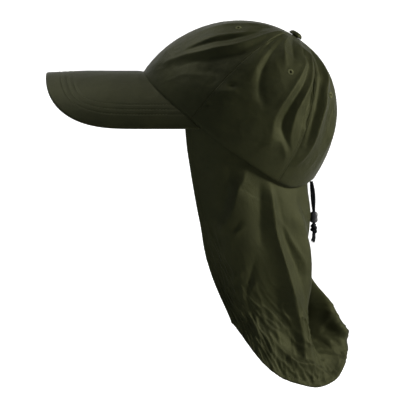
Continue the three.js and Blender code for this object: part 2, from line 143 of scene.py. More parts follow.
def wovenNylon(name):
    material, tree, surface = newMaterial(name, {
        "Roughness": nylon["roughness"], "Sheen Weight": 0.03, "Sheen Roughness": 0.35,
        "Sheen Tint": linear("#b9bd84"), "Specular IOR Level": 0.2, "Specular Tint": linear("#cdd286"),
    })
    uv = addNode(tree, "ShaderNodeUVMap", {"uv_map": "cloth"}).outputs[0]
    place = addNode(tree, "ShaderNodeTexCoord").outputs["Object"]
    cloud = noiseOf(tree, place, 38, 4, 0.55)
    slub = addNode(tree, "ShaderNodeMapping", None, {"Vector": uv, "Scale": (0.12, 2.2, 1)}).outputs[0]
    streak = noiseOf(tree, slub, 1.0, 3)
    warp, weft = (addNode(tree, "ShaderNodeTexWave", {"bands_direction": way}, {
        "Vector": uv, "Scale": math.pi / 10 / nylon["threadPitch"], "Distortion": 0.6, "Detail": 1,
    }).outputs[1] for way in "XY")
    weave = productOf(tree, warp, weft)
    both = addNode(tree, "ShaderNodeMath", {"operation": "MULTIPLY_ADD"}, {0: streak, 1: 0.5, 2: cloud})
    tone = rangeOf(tree, both.outputs[0], 0.55, 0.95)
    shade = mixOf(tree, tone, linear(nylon["dark"]), linear(nylon["light"]))
    color = mixOf(tree, 1.0, shade, rangeOf(tree, weave, toLow=0.86, toHigh=1.06), "MULTIPLY")
    crinkle = bumpOf(tree, noiseOf(tree, place, 210, 5, 0.6), 0.35, 0.0006)
    plug(tree, surface, {"Base Color": color, "Normal": bumpOf(tree, weave, 0.3, 0.0002, crinkle)})
    return material


# A finish with one fine grain, which varies its colour and roughens its surface; depth is in metres
def grained(name, shader, scale, detail, dark, light, strength, depth):
    material, tree, surface = newMaterial(name, shader)
    grain = noiseOf(tree, addNode(tree, "ShaderNodeTexCoord").outputs["Object"], scale, detail)
    color = mixOf(tree, grain, linear(dark), linear(light))
    plug(tree, surface, {"Base Color": color, "Normal": bumpOf(tree, grain, strength, depth)})
    return material, tree, surface, grain, color


# Sewing thread: dull polyester near the cloth's own green, so that a stitch shows mostly by its shadow
def sewingThread(name, dark, light):
    dull = {"Roughness": 0.8, "Specular IOR Level": 0.15}
    return grained(name, dull, 1800, 2, dark, light, 0.4, 0.0001)[0]


# Braided polyester cord: near black with a blue cast, matt, with fine filaments across each ply
def braidedCord():
    matt = {"Roughness": 0.8, "Specular IOR Level": 0.2}
    return grained("braided polyester", matt, 2600, 3, "#07080d", "#171926", 0.6, 0.00012)[0]


# Moulded nylon plastic: dark grey, satin, with the faint mottle of a mould; its sharp edges carry a painted
# highlight, mixed towards a pale grey
def mouldedPlastic():
    material, tree, surface, mottle, base = grained(
        "moulded nylon plastic", {"IOR": 1.53}, 900, 4, "#272731", "#363640", 0.2, 0.0001)
    # Painted highlight: the sharp edges (high pointiness) are mixed towards a pale grey, as if they caught
    # the light
    edge = addNode(tree, "ShaderNodeNewGeometry").outputs["Pointiness"]
    worn = mixOf(tree, rangeOf(tree, edge, 0.5, 0.62), base, linear("#5c5c68"))
    plug(tree, surface, {"Base Color": worn, "Roughness": rangeOf(tree, mottle, toLow=0.26, toHigh=0.42)})
    return material


finishes = {
    "cloth": wovenNylon("woven nylon"),
    "flapCloth": wovenNylon("light woven nylon"),
    "thread": sewingThread("sewing thread", "#25271a", "#303222"),
    # The quilting and eyelet threads are paler than the seams' thread: partly their own colour, partly a
    # painted highlight standing in for the glint of their stitches
    "quiltThread": sewingThread("quilting thread", "#3e402c", "#66694c"),
    "eyeletThread": sewingThread("eyelet thread", "#56583e", "#787b5b"),
    "cord": braidedCord(),
    "lock": mouldedPlastic(),
}
print("stage: materials")
hands = {"left": 1, "right": -1}


def addPiece(name, mesh, finish, nodes):
    piece = bpy.data.objects.new(name, mesh)
    scene.collection.objects.link(piece)
    mesh.materials.clear()
    mesh.materials.append(finishes[finish])
    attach(piece, "root")
    if nodes:
        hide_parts(*nodes)
    return piece


def finishMesh(name, bm):
    for face in bm.faces:
        face.smooth = True
    mesh = bpy.data.meshes.new(name)
    bm.to_mesh(mesh)
    bm.free()
    return mesh


# A closed round tube along points, from a bevelled curve
def tubeMesh(points, radius):
    curve = bpy.data.curves.new("tube", "CURVE")
    curve.dimensions = "3D"
    curve.bevel_depth = radius * mm
    curve.bevel_resolution = 2
    curve.use_fill_caps = True
    spline = curve.splines.new("POLY")
    spline.points.add(len(points) - 1)
    for i, p in enumerate(points):
        spline.points[i].co = (*(Vector(p) * mm), 1)
        spline.points[i].radius = 1
    holder = bpy.data.objects.new("tube", curve)
    mesh = bpy.data.meshes.new_from_object(holder)
    bpy.data.objects.remove(holder)
    bpy.data.curves.remove(curve)
    return mesh


# A profile of radii and heights, turned round the Z axis
def lathe(profile, steps, weld):
    bm = bmesh.new()
    chain = [bm.verts.new(Vector((r, 0, h)) * mm) for r, h in profile]
    edges = [bm.edges.new(pair) for pair in zip(chain, chain[1:])]
    bmesh.ops.spin(bm, geom=chain + edges, axis=(0, 0, 1), cent=(0, 0, 0), angle=2 * math.pi, steps=steps,
                   use_merge=True)
    bmesh.ops.remove_doubles(bm, verts=bm.verts, dist=weld)
    bmesh.ops.recalc_face_normals(bm, faces=bm.faces)
    return bm


def joinMeshes(meshes):
    bm = bmesh.new()
    for mesh in meshes:
        bm.from_mesh(mesh)
        bpy.data.meshes.remove(mesh)
    bmesh.ops.remove_doubles(bm, verts=bm.verts, dist=1e-7)
    bmesh.ops.recalc_face_normals(bm, faces=bm.faces)
    return bm


# A smooth line through a few chosen points, in even steps
def smoothLine(points, step):
    points = np.array(points, float)
    spans = np.r_[0, np.cumsum(np.linalg.norm(np.diff(points, axis=0), axis=1))]
    count = max(2, int(round(spans[-1] / step)) + 1)
    at = np.linspace(0, spans[-1], count)
    return np.stack([smoothBetween(spans, points[:, k], at) for k in range(points.shape[1])], axis=1)


# Smooth value between the rows of a table, with the slopes of a cubic through its neighbours
def smoothBetween(places, values, at):
    places, values, at = (np.asarray(x, float) for x in (places, values, at))
    slopes = np.gradient(values) * 0
    slopes[1:-1] = (values[2:] - values[:-2]) / (places[2:] - places[:-2])
    slopes[0] = (values[1] - values[0]) / (places[1] - places[0])
    slopes[-1] = (values[-1] - values[-2]) / (places[-1] - places[-2])
    i = np.clip(np.searchsorted(places, at) - 1, 0, len(places) - 2)
    width = places[i + 1] - places[i]
    t = np.clip((at - places[i]) / width, 0, 1)
    h = t * t * (3 - 2 * t)
    bend = slopes[i] * width * t * (1 - t) ** 2 + slopes[i + 1] * width * t * t * (t - 1)
    return values[i] * (1 - h) + values[i + 1] * h + bend


def smoothStep(low, high, x):
    t = np.clip((np.asarray(x, float) - low) / (high - low), 0, 1)
    return t * t * (3 - 2 * t)


# Drawcord: a three-ply twisted braid, its strands at the same places as their tubes in the frame
cords = {
    "radius": 1.4,
    "plies": 3,
    "layLength": 7.5,  # one turn of a ply
    "plyShare": 0.62,  # a ply's radius as a share of the strand's
    "plyOffset": 0.44,  # how far a ply lies from the strand's middle, as a share of its radius
    "step": 0.35,
    "left": [
        (79.8, -4.2, -51.9), (80.7, -4.6, -56), (81.8, -4.6, -62), (82.2, -4.2, -68), (82.1, -3.5, -74),
        (82, -2.8, -79), (82, -2.5, -84), (82, -2.5, -91.6),
    ],
    "right": [
        (79.6, 4.2, -51.9), (79.7, 4.6, -56), (80.1, 4.6, -62), (80.5, 4.2, -68), (81.1, 3.5, -74),
        (81.8, 2.8, -79), (82, 2.5, -84), (82, 2.5, -91.6),
    ],
}


def twistedStrand(route, radius, turnStart=0.0):
    line = smoothLine(route, cords["step"])
    meshes = []
    for k in range(cords["plies"]):
        points = []
        travelled = 0
        for i, point in enumerate(line):
            along = Vector(line[min(i + 1, len(line) - 1)] - line[max(i - 1, 0)]).normalized()
            if i:
                side = (side - along * side.dot(along)).normalized()
                travelled += np.linalg.norm(line[i] - line[i - 1])
            else:
                side = along.orthogonal().normalized()
            turn = turnStart + 2 * math.pi * (travelled / cords["layLength"] + k / cords["plies"])
            offset = side * math.cos(turn) + along.cross(side) * math.sin(turn)
            points.append(Vector(point) + offset * radius * cords["plyOffset"])
        meshes.append(tubeMesh(points, radius * cords["plyShare"]))
    return joinMeshes(meshes)


def makeCords():
    made = {}
    for hand, turnStart in (("left", 0.0), ("right", 1.9)):
        name = f"drawcord_{hand}_strand"
        mesh = finishMesh(name, twistedStrand(cords[hand], cords["radius"], turnStart))
        made[hand] = addPiece(name, mesh, "cord", [f"drawcord_{hand}"])
    return made


strands = makeCords()
print("stage: cords")


# The head opening and the crown over it, with the same sizes and formulas as the frame's part
opening = {"length": 191, "width": 154, "tilt": 33.1, "rimDip": 18}
rimLine = {
    "angle": [-37, 0, 37, 57, 78, 97, 123, 135, 148, 159, 173, 180, 187],
    "rise": [-0.41, -0.04, -0.41, -0.6, -0.8, -0.95, -1, -0.96, -0.82, -0.49, 0.05, 0.09, 0.05],
}
crown = {
    "height": 107,
    "setback": 6.5,
    "topHole": 3.2,
    "thickness": 1.2,
    "power": {"angle": [0, 70, 135, 180], "value": [1.95, 2.1, 2.25, 2.25]},
    "seams": [(-180, -180), (-135, -137), (-70, -77), (0, 0), (70, 77), (135, 137), (180, 180)],
    "seamGap": 0.04,
    "columns": 120,
    "rows": 150,
    "mapSize": (105, 130),
}


def standing(along, across, up):
    c = math.cos(math.radians(opening["tilt"]))
    s = math.sin(math.radians(opening["tilt"]))
    return np.stack([along * c + up * s, across, -along * s + up * c], axis=-1)


def foldedAngle(angle):
    return np.abs((np.asarray(angle, float) + 180) % 360 - 180)


def rimRise(angle):
    return opening["rimDip"] * smoothBetween(rimLine["angle"], rimLine["rise"], foldedAngle(angle))


def rimPoint(angle, inset, lift):
    a = np.radians(angle)
    along = -(opening["length"] / 2 - inset) * np.cos(a)
    return standing(along, -(opening["width"] / 2 - inset) * np.sin(a), rimRise(angle) + lift)


def plainCrown(angle, height):
    angle, height = np.broadcast_arrays(np.asarray(angle, float), np.asarray(height, float))
    power = smoothBetween(crown["power"]["angle"], crown["power"]["value"], foldedAngle(angle))
    turn = np.radians(90) * height
    out = np.clip(np.cos(turn), 0, 1) ** (2 / power)
    rise = np.sin(turn) ** (2 / power)
    low = rimRise(angle)
    a = np.radians(angle)
    return standing(
        -(opening["length"] / 2) * np.cos(a) * out + crown["setback"] * (1 - out),
        -(opening["width"] / 2) * np.sin(a) * out,
        low + (crown["height"] - low) * rise)


def unit(vectors):
    return vectors / np.maximum(np.linalg.norm(vectors, axis=-1, keepdims=True), 1e-9)


def crownOutward(angle, height):
    height = np.clip(height, 0.01, 0.985)
    alongU = plainCrown(angle + 0.5, height) - plainCrown(angle - 0.5, height)
    alongV = plainCrown(angle, height + 0.005) - plainCrown(angle, height - 0.005)
    return unit(np.cross(alongU, alongV))


# Even noise from -1 to 1 at points given in noise cells
def noiseAt(points, seed=0.0):
    flat = np.asarray(points, float).reshape(-1, 3) + seed * 17.3
    values = np.array([noise.noise(p) for p in flat.tolist()])
    return values.reshape(np.asarray(points).shape[:-1])


# Sharp ridges from 0 to 1 along the noise's zero lines
def ridges(points, seed):
    return np.maximum(1 - 2 * np.abs(noiseAt(points, seed)), 0) ** 3


def noiseSum(points, rows):
    return sum(height * noiseAt(points / cell, seed) for height, cell, seed in rows)


def cells(x, y, level=0):
    return np.stack([x, y, x * 0 + level], axis=-1)


# From each point to the nearest place on a line: how many steps along it lies, that step, and the way from it
def fromLine(points, line):
    step = line[1:] - line[:-1]
    lengths = np.maximum((step ** 2).sum(axis=1), 1e-9)
    t = np.clip((points @ step.T - (line[:-1] * step).sum(axis=1)) / lengths, 0, 1)
    away = points[:, None] - line[None, :-1] - t[..., None] * step[None]
    k = (away ** 2).sum(axis=2).argmin(axis=1)
    rows = np.arange(len(points))
    return k + t[rows, k], step[k], away[rows, k]


# How a table of folds raises a surface. Its columns are the fold's half-width, its height (less than 0 in
# a valley), how much steeper it is on one side, how round its crest is, and its line, drawn in the surface's
# own two numbers.
def foldSum(points, normals, folds, surface, mirror=1, strength=1):
    flat = points.reshape(-1, 3)
    total = np.zeros(len(flat))
    for halfWidth, depth, lean, crest, places in folds:
        knots = np.array(places, float)
        at = np.linspace(0, len(knots) - 1, 26)
        first, second = (smoothBetween(np.arange(len(knots)), knots[:, k], at) for k in (0, 1))
        line = surface(first * mirror, second)
        reach = 5 * halfWidth
        inside = np.all((flat > line.min(axis=0) - reach) & (flat < line.max(axis=0) + reach), axis=1)
        if not inside.any():
            continue
        reached, step, away = fromLine(flat[inside], line)
        side = (unit(np.cross(step, normals.reshape(-1, 3)[inside])) * away).sum(axis=1)
        width = halfWidth * (1 - 0.55 * lean * np.tanh(side / halfWidth) * mirror)
        taper = np.sin(math.pi * (0.06 + 0.88 * (reached / (len(line) - 1)))) ** 0.8
        distance = np.sqrt((away ** 2).sum(axis=1) + crest ** 2) - crest
        total[inside] += depth * taper * np.exp(-distance / width)
    return strength * total.reshape(points.shape[:-1])


# Folds of the left half as the photo shows them, from the front round to the back: (angle, height share)
crownFolds = [
    (4.5, 2.6, 0.6, 0.7, [(33, .26), (37, .34), (43.5, .465), (52.5, .59), (58, .7), (62, .85)]),
    (4.5, -3.4, 0, 0.8, [(35, .26), (40, .34), (47.5, .45), (54, .56), (58, .72), (64, .86)]),
    (6, 4.6, 0.7, 0.6, [(28, .13), (35.8, .21), (46.8, .31), (52, .37), (59.8, .455), (63.8, .54),
     (67, .7), (70, .88)]),
    (8, -2.2, 0, 1.5, [(40, .17), (48.8, .26), (57, .34), (65, .42), (68.5, .53), (71, .7)]),
    (9, -1.6, 0, 2, [(54, .2), (62, .25), (71, .25), (75, .3)]),
    (5, 1.6, 0.5, 0.8, [(20, .4), (27, .55), (35, .68), (42, .82)]),
    (4, 1.8, 0, 0.8, [(74, .9), (73, .75), (74, .6), (77, .48)]),
    (3.6, -1.8, 0, 1.2, [(77, .9), (76.5, .75), (77, .6), (79, .5)]),
    (5, 1.5, -0.5, 0.8, [(80, .9), (78.8, .73), (80.5, .56), (82.2, .44), (85.8, .33)]),
    (5, -2.2, 0.4, 1.0, [(84, .9), (83.8, .69), (85.8, .52), (88, .41), (92.8, .32), (98.5, .26)]),
    (4, 2.4, 0, 0.6, [(86, .9), (86.5, .735), (94.8, .605), (102, .53)]),
    (4, -2.2, 0, 1.2, [(94, .92), (97, .78), (103.8, .675), (106, .6)]),
    (4, 1.3, 0.5, 1.2, [(72, .175), (78, .21), (85, .245)]),
    (2.2, -1.6, 0, 0.6, [(75.8, .235), (78, .25), (80.5, .262)]),
    (2.0, -1.2, 0, 0.6, [(71.5, .09), (73.5, .1), (75.5, .108)]),
    (7, -1.2, 0, 1.2, [(90, .4), (94, .33), (100, .27), (104, .2)]),
    (4.6, 3.2, -0.4, 0.6, [(118, .8), (118.8, .64), (115.5, .515), (112, .362), (110.8, .235),
     (114.5, .15)]),
    (5.5, -4.2, 0, 1.0, [(124, .7), (121.5, .517), (117.3, .357), (117.2, .235), (124, .175), (132, .135)]),
    (4, 1.3, 0, 0.8, [(114, .1), (121, .145), (127, .12), (131, .08)]),
    (4.5, 3.0, 0, 0.6, [(127, .86), (128.5, .7), (128.5, .55), (123.8, .4), (122.6, .3), (125.5, .2),
     (133, .13)]),
    (4.5, -3.0, 0, 0.8, [(136, .8), (135, .66), (135.2, .53), (131, .4), (131, .295), (134, .2)]),
    (4, 1.8, 0, 0.6, [(109, .93), (114, .8), (128, .745), (134, .61)]),
    (4, -1.8, 0, 1.2, [(111, .86), (118, .74), (124, .66)]),
    (6, 5, 0.8, 0.5, [(166, .9), (159.2, .75), (149.8, .54), (145, .345), (144.6, .193), (141, .09)]),
    (4, -1.6, 0, 1.2, [(160, .86), (150, .66), (143, .5), (140.5, .34), (141, .2)]),
    (7, -2.2, 0, 1.2, [(174, .6), (162, .4), (156, .22)]),
    (6, 1.8, 0, 1.2, [(178, .46), (170, .29), (164, .14)]),
    (5, 0.9, 0, 1.2, [(110, .02), (114, .1), (118, .17)]),
    (3.5, -3.2, 0, 0.5, [(140, .85), (138.6, .7), (134.8, .51), (135, .35), (137, .2), (135, .05)]),
    (5, -2.4, 0, 1, [(152, .86), (146, .68), (141, .5), (139.5, .34), (140, .2)]),
    (4, -2.0, 0, 1.2, [(172, .8), (162, .62), (156, .44), (152, .28)]),
    (4, 1.8, 0, 0.6, [(176, .7), (168, .52), (162, .36)]),
]
eyelets = {
    "spots": {"front": (39.2, 0.585), "side": (106.5, 0.517), "back": (158.05, 0.52)},  # angle, height share
    "radius": 3.1,
    "bore": 1.25,
    "hole": 2.0,  # the hole in the cloth, under the stitches
    "flatRound": 9,  # how far round it the cloth lies flat
    "stitches": 30,
    "threadWidth": 0.62,
    "rise": 0.5,
}
seamFinish = {"groove": 0.3, "grooveWidth": 0.35, "stitchLine": 2.0, "dent": 0.1, "pucker": 0.3}
crownCloth = {
    "slack": [(0.9, 34, 1), (0.45, 15, 2), (0.2, 6, 3)],  # rows of height, cell and seed
    "creases": 0.35,
    "gather": 0.9,  # under the button
    "hiddenShare": 0.85,  # how strong the right side's folds are
    "rimRoll": 0.5,
}


def seamAngle(seam, height):
    rim, top = crown["seams"][seam]
    return rim + (top - rim) * height


# How long one degree of the crown is
def degreeSize(angle, height):
    return np.linalg.norm(plainCrown(angle + 0.5, height) - plainCrown(angle - 0.5, height), axis=-1)


def seamDistance(angle, height):
    nearest = [np.abs(angle - seamAngle(seam, height)) for seam in range(len(crown["seams"]))]
    return np.min(nearest, axis=0) * degreeSize(angle, height)


# The crown's finished outer face at any angle and height share
def crownSkin(angle, height):
    angle, height = np.broadcast_arrays(np.asarray(angle, float), np.asarray(height, float))
    base = plainCrown(angle, height)
    normal = crownOutward(angle, height)
    mirror, strength = (1, 1) if angle.mean() >= 0 else (-1, crownCloth["hiddenShare"])
    raised = foldSum(base, normal, crownFolds, plainCrown, mirror, strength)
    raised = raised + noiseSum(base, crownCloth["slack"]) + crownCloth["creases"] * ridges(base / 26, 4)
    gather = crownCloth["gather"] * noiseAt(cells(angle / 9, height * 1.3), 5)
    raised = raised + gather * smoothStep(0.45, 0.8, height)
    for middle, level in eyelets["spots"].values():
        for sign in hands.values():
            away = np.linalg.norm(base - plainCrown(sign * middle, level), axis=-1)
            raised = raised * (1 - np.exp(-(away / eyelets["flatRound"]) ** 2))
    fade = smoothStep(0.0, 0.12, height) * (1 - 0.75 * smoothStep(0.8, 0.97, height))
    fromMiddle = np.minimum(foldedAngle(angle), 180 - foldedAngle(angle))
    fade = fade * (0.25 + 0.75 * smoothStep(1, 14, fromMiddle))
    fade = fade * np.where(raised > 0, 0.25 + 0.75 * smoothStep(0.05, 0.4, np.abs(normal[..., 1])), 1)
    seam = seamDistance(angle, height)
    pucker = noiseAt(cells(base[..., 0] / 4.2, base[..., 2] / 4.2, 3.1), 6) * np.exp(-seam / 6)
    groove = seamFinish["groove"] * np.exp(-(seam / seamFinish["grooveWidth"]) ** 2)
    stitched = seamFinish["dent"] * np.exp(-((seam - seamFinish["stitchLine"]) / 0.5) ** 2)
    rimRoll = crownCloth["rimRoll"] * np.exp(-(height / 0.006) ** 2)
    lift = raised * fade + seamFinish["pucker"] * pucker - groove - stitched - rimRoll
    return base + normal * lift[..., None]


# A sheet of cloth: a grid whose vertices go where surface(u, v) puts them, with a map in mm for the weave
def clothMesh(name, columns, rows, surface, mapSize):
    bm = bmesh.new()
    bmesh.ops.create_grid(bm, x_segments=columns, y_segments=rows, size=1)
    mesh = bpy.data.meshes.new(name)
    bm.to_mesh(mesh)
    bm.free()
    count = len(mesh.vertices)
    flat = np.empty(count * 3)
    mesh.vertices.foreach_get("co", flat)
    uv = (flat.reshape(-1, 3)[:, :2] + 1) / 2
    points, outward = surface(np.clip(uv[:, 0], 0, 1), np.clip(uv[:, 1], 0, 1))
    mesh.vertices.foreach_set("co", (points * mm).ravel())
    loops = np.empty(len(mesh.loops), dtype=np.int64)
    mesh.loops.foreach_get("vertex_index", loops)
    layer = mesh.uv_layers.new(name="cloth")
    layer.data.foreach_set("uv", (uv * mapSize)[loops].ravel())
    mesh.update()
    middle = mesh.polygons[len(mesh.polygons) // 2]
    if np.dot(middle.normal, outward[middle.vertices[0]]) < 0:
        mesh.flip_normals()
    mesh.polygons.foreach_set("use_smooth", [True] * len(mesh.polygons))
    mesh.update()
    return mesh


def thicken(piece, thickness):
    wall = piece.modifiers.new("thickness", "SOLIDIFY")
    wall.thickness = thickness * mm
    wall.offset = -1


# More rows of the grid towards both of its edges
def edgeSpread(share, pull=0.6):
    return (1 - pull) * share + pull * (0.5 - 0.5 * np.cos(np.pi * share))


def crownTop():
    power = crown["power"]["value"][1]
    return 2 / math.pi * math.acos((crown["topHole"] / (opening["width"] / 2)) ** (power / 2))


# A small hole in a cloth mesh; its edge lies under the eyelet's stitches
def punchHole(mesh, middle, radius):
    bm = bmesh.new()
    bm.from_mesh(mesh)
    middle = Vector(middle) * mm
    inside = [face for face in bm.faces if (face.calc_center_median() - middle).length < radius * mm]
    bmesh.ops.delete(bm, geom=inside, context="FACES")
    bm.to_mesh(mesh)
    bm.free()


def makeCrown():
    top = crownTop()
    panels = []
    for seam, (place, (middle, level)) in enumerate(eyelets["spots"].items(), 3):
        for hand, sign in hands.items():
            def surface(u, v):
                height = edgeSpread(v, 0.45) * top
                low, high = seamAngle(seam, height), seamAngle(seam + 1, height)
                edge = crown["seamGap"] / 2 / degreeSize((low + high) / 2, height)
                angle = sign * (low + edge + (high - low - 2 * edge) * edgeSpread(u))
                return crownSkin(angle, height), crownOutward(angle, height)

            name = f"crown_{place}_{hand}_cloth"
            mesh = clothMesh(name, crown["columns"], crown["rows"], surface, crown["mapSize"])
            punchHole(mesh, crownSkin(np.array([sign * middle]), np.array([level]))[0], eyelets["hole"])
            piece = addPiece(name, mesh, "cloth", [f"crown_{place}_{hand}"])
            thicken(piece, crown["thickness"])
            panels.append(piece)
    return panels


panels = makeCrown()
print("stage: crown")


# The neck flap, hung inside the rim behind the peak's ends
flap = {
    "reach": 113.5,
    "halfWidth": 68,
    "drop": 244,
    "tuck": 6,
    "gap": 0.35,
    "peakThickness": 3,
    "thickness": 0.9,
    "heldBack": 2.2,  # how far the flap's top stays behind the rim
    "stations": [0, 0.25, 0.5, 0.75, 1],
    "across": [0, 0.127, 0.254, 0.4, 0.68, 1],
    "rimAngle": [0, 15, 30, 47, 80, 118],
    "back": [
        [0.683, 0.67, 0.885, 1], [0.67, 0.652, 0.61, 0.985], [0.66, 0.705, 0.665, 0.89],
        [0.423, 0.533, 0.661, 0.705], [0.07, 0.123, 0.211, 0.356], [-0.317, -0.242, -0.152, 0.03],
    ],
    "side": [
        [0, 0, 0, 0], [0.25, 0.206, 0.2, 0.3], [0.485, 0.441, 0.47, 0.6],
        [0.735, 0.68, 0.65, 0.86], [1.03, 0.94, 0.89, 1.08], [0.912, 0.84, 0.794, 0.92],
    ],
    "hem": [0.862, 0.915, 0.978, 1, 0.935, 0.749],
    "cut": (0.41, 0.22),  # in metres, laid flat, without the hem's turned width
    "cutArea": 0.064,  # in square metres
}


# A row of the flap's table for both halves, from the right front edge to the left one
def bothHalves(values, sign=1):
    values = np.asarray(values, float)
    return np.r_[sign * values[:0:-1], values]


def plainFlap(across, down):
    across, down = np.broadcast_arrays(np.asarray(across, float), np.asarray(down, float))
    places = bothHalves(flap["across"], -1)
    angle = 180 - smoothBetween(places, bothHalves(flap["rimAngle"], -1), across)
    fromFront = foldedAngle(angle)
    behindPeak = smoothStep(80, 92, fromFront)
    inset = flap["peakThickness"] + (crown["thickness"] - flap["peakThickness"]) * behindPeak + flap["gap"]
    inset = inset + cords["radius"] * smoothStep(150, 172, fromFront)
    top = rimPoint(angle, inset, -flap["gap"])
    x, y = 0, 0
    for k, weights in enumerate(np.eye(len(flap["stations"]))):
        share = smoothBetween(flap["stations"], weights, np.clip(down, 0, 1))
        if k == 0:
            x, y = x + share * top[..., 0], y + share * top[..., 1]
            continue
        back = [row[k - 1] for row in flap["back"]]
        side = [row[k - 1] for row in flap["side"]]
        x = x + share * flap["reach"] * smoothBetween(places, bothHalves(back), across)
        y = y - share * flap["halfWidth"] * smoothBetween(places, bothHalves(side, -1), across)
    hem = -flap["drop"] * smoothBetween(places, bothHalves(flap["hem"]), across)
    hung = np.stack([x, y, top[..., 2] + (hem - top[..., 2]) * down], axis=-1)
    tucked = rimPoint(angle, inset, -flap["gap"] - np.minimum(down, 0) * flap["tuck"])
    return np.where((down < 0)[..., None], tucked, hung)


def flapOutward(across, down):
    across, down = np.clip(across, -0.99, 0.99), np.clip(down, 0.01, 0.99)
    alongU = plainFlap(across + 0.01, down) - plainFlap(across - 0.01, down)
    alongV = plainFlap(across, down + 0.01) - plainFlap(across, down - 0.01)
    return unit(np.cross(alongU, alongV))


# Folds of the flap's left half as the photo shows them: (place across, share of the way down)
flapFolds = [
    (10, 7.5, 0.6, 0.4, [(.43, .0), (.43, .1), (.43, .25), (.425, .38), (.425, .52), (.43, .62),
     (.44, .72), (.44, .8)]),
    (8, -3.6, 0, 1.5, [(.49, .02), (.5, .12), (.507, .24), (.53, .36)]),
    (10, -4, 0.6, 1, [(.385, .0), (.38, .12), (.372, .25), (.36, .36), (.345, .47), (.34, .6)]),
    (4, 1.8, 0, 0.8, [(.41, .16), (.37, .22), (.345, .29), (.32, .35), (.295, .42)]),
    (8, 5, 0.7, 0.5, [(.585, .0), (.617, .095), (.657, .15), (.677, .2), (.7, .26), (.73, .32),
     (.77, .38), (.83, .47)]),
    (9, -3.4, 0, 1.2, [(.66, .0), (.71, .13), (.74, .22), (.79, .32), (.86, .42)]),
    (2.4, -2.4, 0, 0.5, [(.66, .3), (.69, .345), (.725, .385)]),
    (2.4, 1.4, 0, 0.5, [(.64, .325), (.69, .37), (.725, .42)]),
    (2.4, 1.2, 0, 0.5, [(.765, .43), (.795, .51), (.805, .59)]),
    (2.6, 1.4, 0, 0.5, [(.74, .4), (.752, .487), (.768, .57)]),
    (2.6, 1.2, 0, 0.5, [(.78, .37), (.83, .45)]),
    (3, -2.8, 0, 0.5, [(.605, .47), (.638, .55), (.665, .6), (.69, .67)]),
    (2.6, 1.5, 0, 0.5, [(.61, .56), (.662, .628), (.69, .69)]),
    (5, -1.8, 0, 1.2, [(.9, .56), (.885, .655), (.883, .725), (.93, .85)]),
    (5, 1.8, 0.4, 0.8, [(.84, .71), (.74, .605), (.66, .52)]),
    (2.2, 1.2, 0, 0.5, [(.74, .64), (.805, .738), (.87, .84)]),
    (2.4, 1.3, 0, 0.5, [(.695, .59), (.72, .66), (.728, .72), (.768, .8)]),
    (2.4, 1.3, 0, 0.5, [(.63, .63), (.647, .718), (.675, .787), (.687, .85)]),
    (2.2, 1.2, 0, 0.5, [(.655, .65), (.695, .748), (.705, .82), (.745, .905)]),
    (2.6, 1.5, 0, 0.5, [(.637, .75), (.64, .823), (.625, .878), (.59, .925)]),
    (2, -1.4, 0, 0.5, [(.66, .84), (.647, .9)]),
    (2.6, 1.3, 0, 0.5, [(.7, .78), (.68, .878), (.635, .93), (.583, .975)]),
    (2.4, -1.4, 0, 0.5, [(.64, .89), (.61, .95), (.56, .99)]),
    (4.5, 3.8, -0.7, 0.4, [(.62, .8), (.585, .845), (.542, .878), (.505, .895), (.46, .9), (.39, .895),
     (.3, .93)]),
    (10, -4.6, 0, 2, [(.48, .68), (.485, .78), (.48, .835), (.44, .865)]),
    (8, -1.8, 0, 1.2, [(.5, .54), (.515, .62), (.525, .7)]),
    (2.2, 1.2, 0, 0.5, [(.49, .92), (.42, .938), (.35, .975)]),
    (2.2, -1.4, 0, 0.5, [(.53, .915), (.488, .953), (.44, .988)]),
    (2, -1.2, 0, 0.5, [(.49, .9), (.435, .945), (.395, .99)]),
    (2, -1.3, 0, 0.5, [(.39, .935), (.34, .97), (.32, .99)]),
    (11, -6, 0, 2, [(.13, .45), (.115, .6), (.11, .72), (.12, .8), (.2, .86)]),
    (4, 1.4, 0, 0.6, [(.035, .68), (.035, .8), (.03, .9)]),
    (2.4, 1.5, 0, 0.5, [(.118, .8), (.112, .88), (.1, .95)]),
    (2.4, 1.5, 0, 0.5, [(.24, .86), (.18, .91), (.125, .985)]),
    (2.4, -1.5, 0, 0.5, [(.3, .9), (.26, .94), (.2, .985)]),
    (6, 1.4, 0, 1.2, [(.1, .05), (.07, .2), (.09, .34)]),
    (6, -1.6, 0, 1.2, [(.2, .04), (.19, .16), (.2, .3)]),
    (11, 3.2, 0, 5, [(-.05, .91), (0, .9), (.05, .91)]),
]
hem = {"width": 7, "step": 0.4, "stitchAt": 5.4, "groove": 0.3, "pucker": 0.84, "round": 0.4}
flapWear = {
    "slack": [(1.3, 42, 11), (0.55, 19, 12)],  # rows of height, cell and seed
    "halfWidth": 165,
    "length": 190,
    "drift": 5,  # how far the crinkles wander
    "lengthwise": 1.1,
    "slanted": 1.0,
    "hiddenShare": 0.8,  # how strong the right side's folds are
}


# How far a place on the flap is from its front edges and hem, in mm
def flapEdgeDistance(across, down):
    near, high = across * 0.985, np.clip(down, 0, 0.98)
    alongU = plainFlap(near + 0.01, down) - plainFlap(near - 0.01, down)
    alongV = plainFlap(across, high + 0.01) - plainFlap(across, high - 0.01)
    side = (1 - np.abs(across)) * np.linalg.norm(alongU, axis=-1) / 0.02
    low = (1 - down) * np.linalg.norm(alongV, axis=-1) / 0.02
    return -2 * np.log(np.exp(-side / 2) + np.exp(-low / 2) + 1e-12)


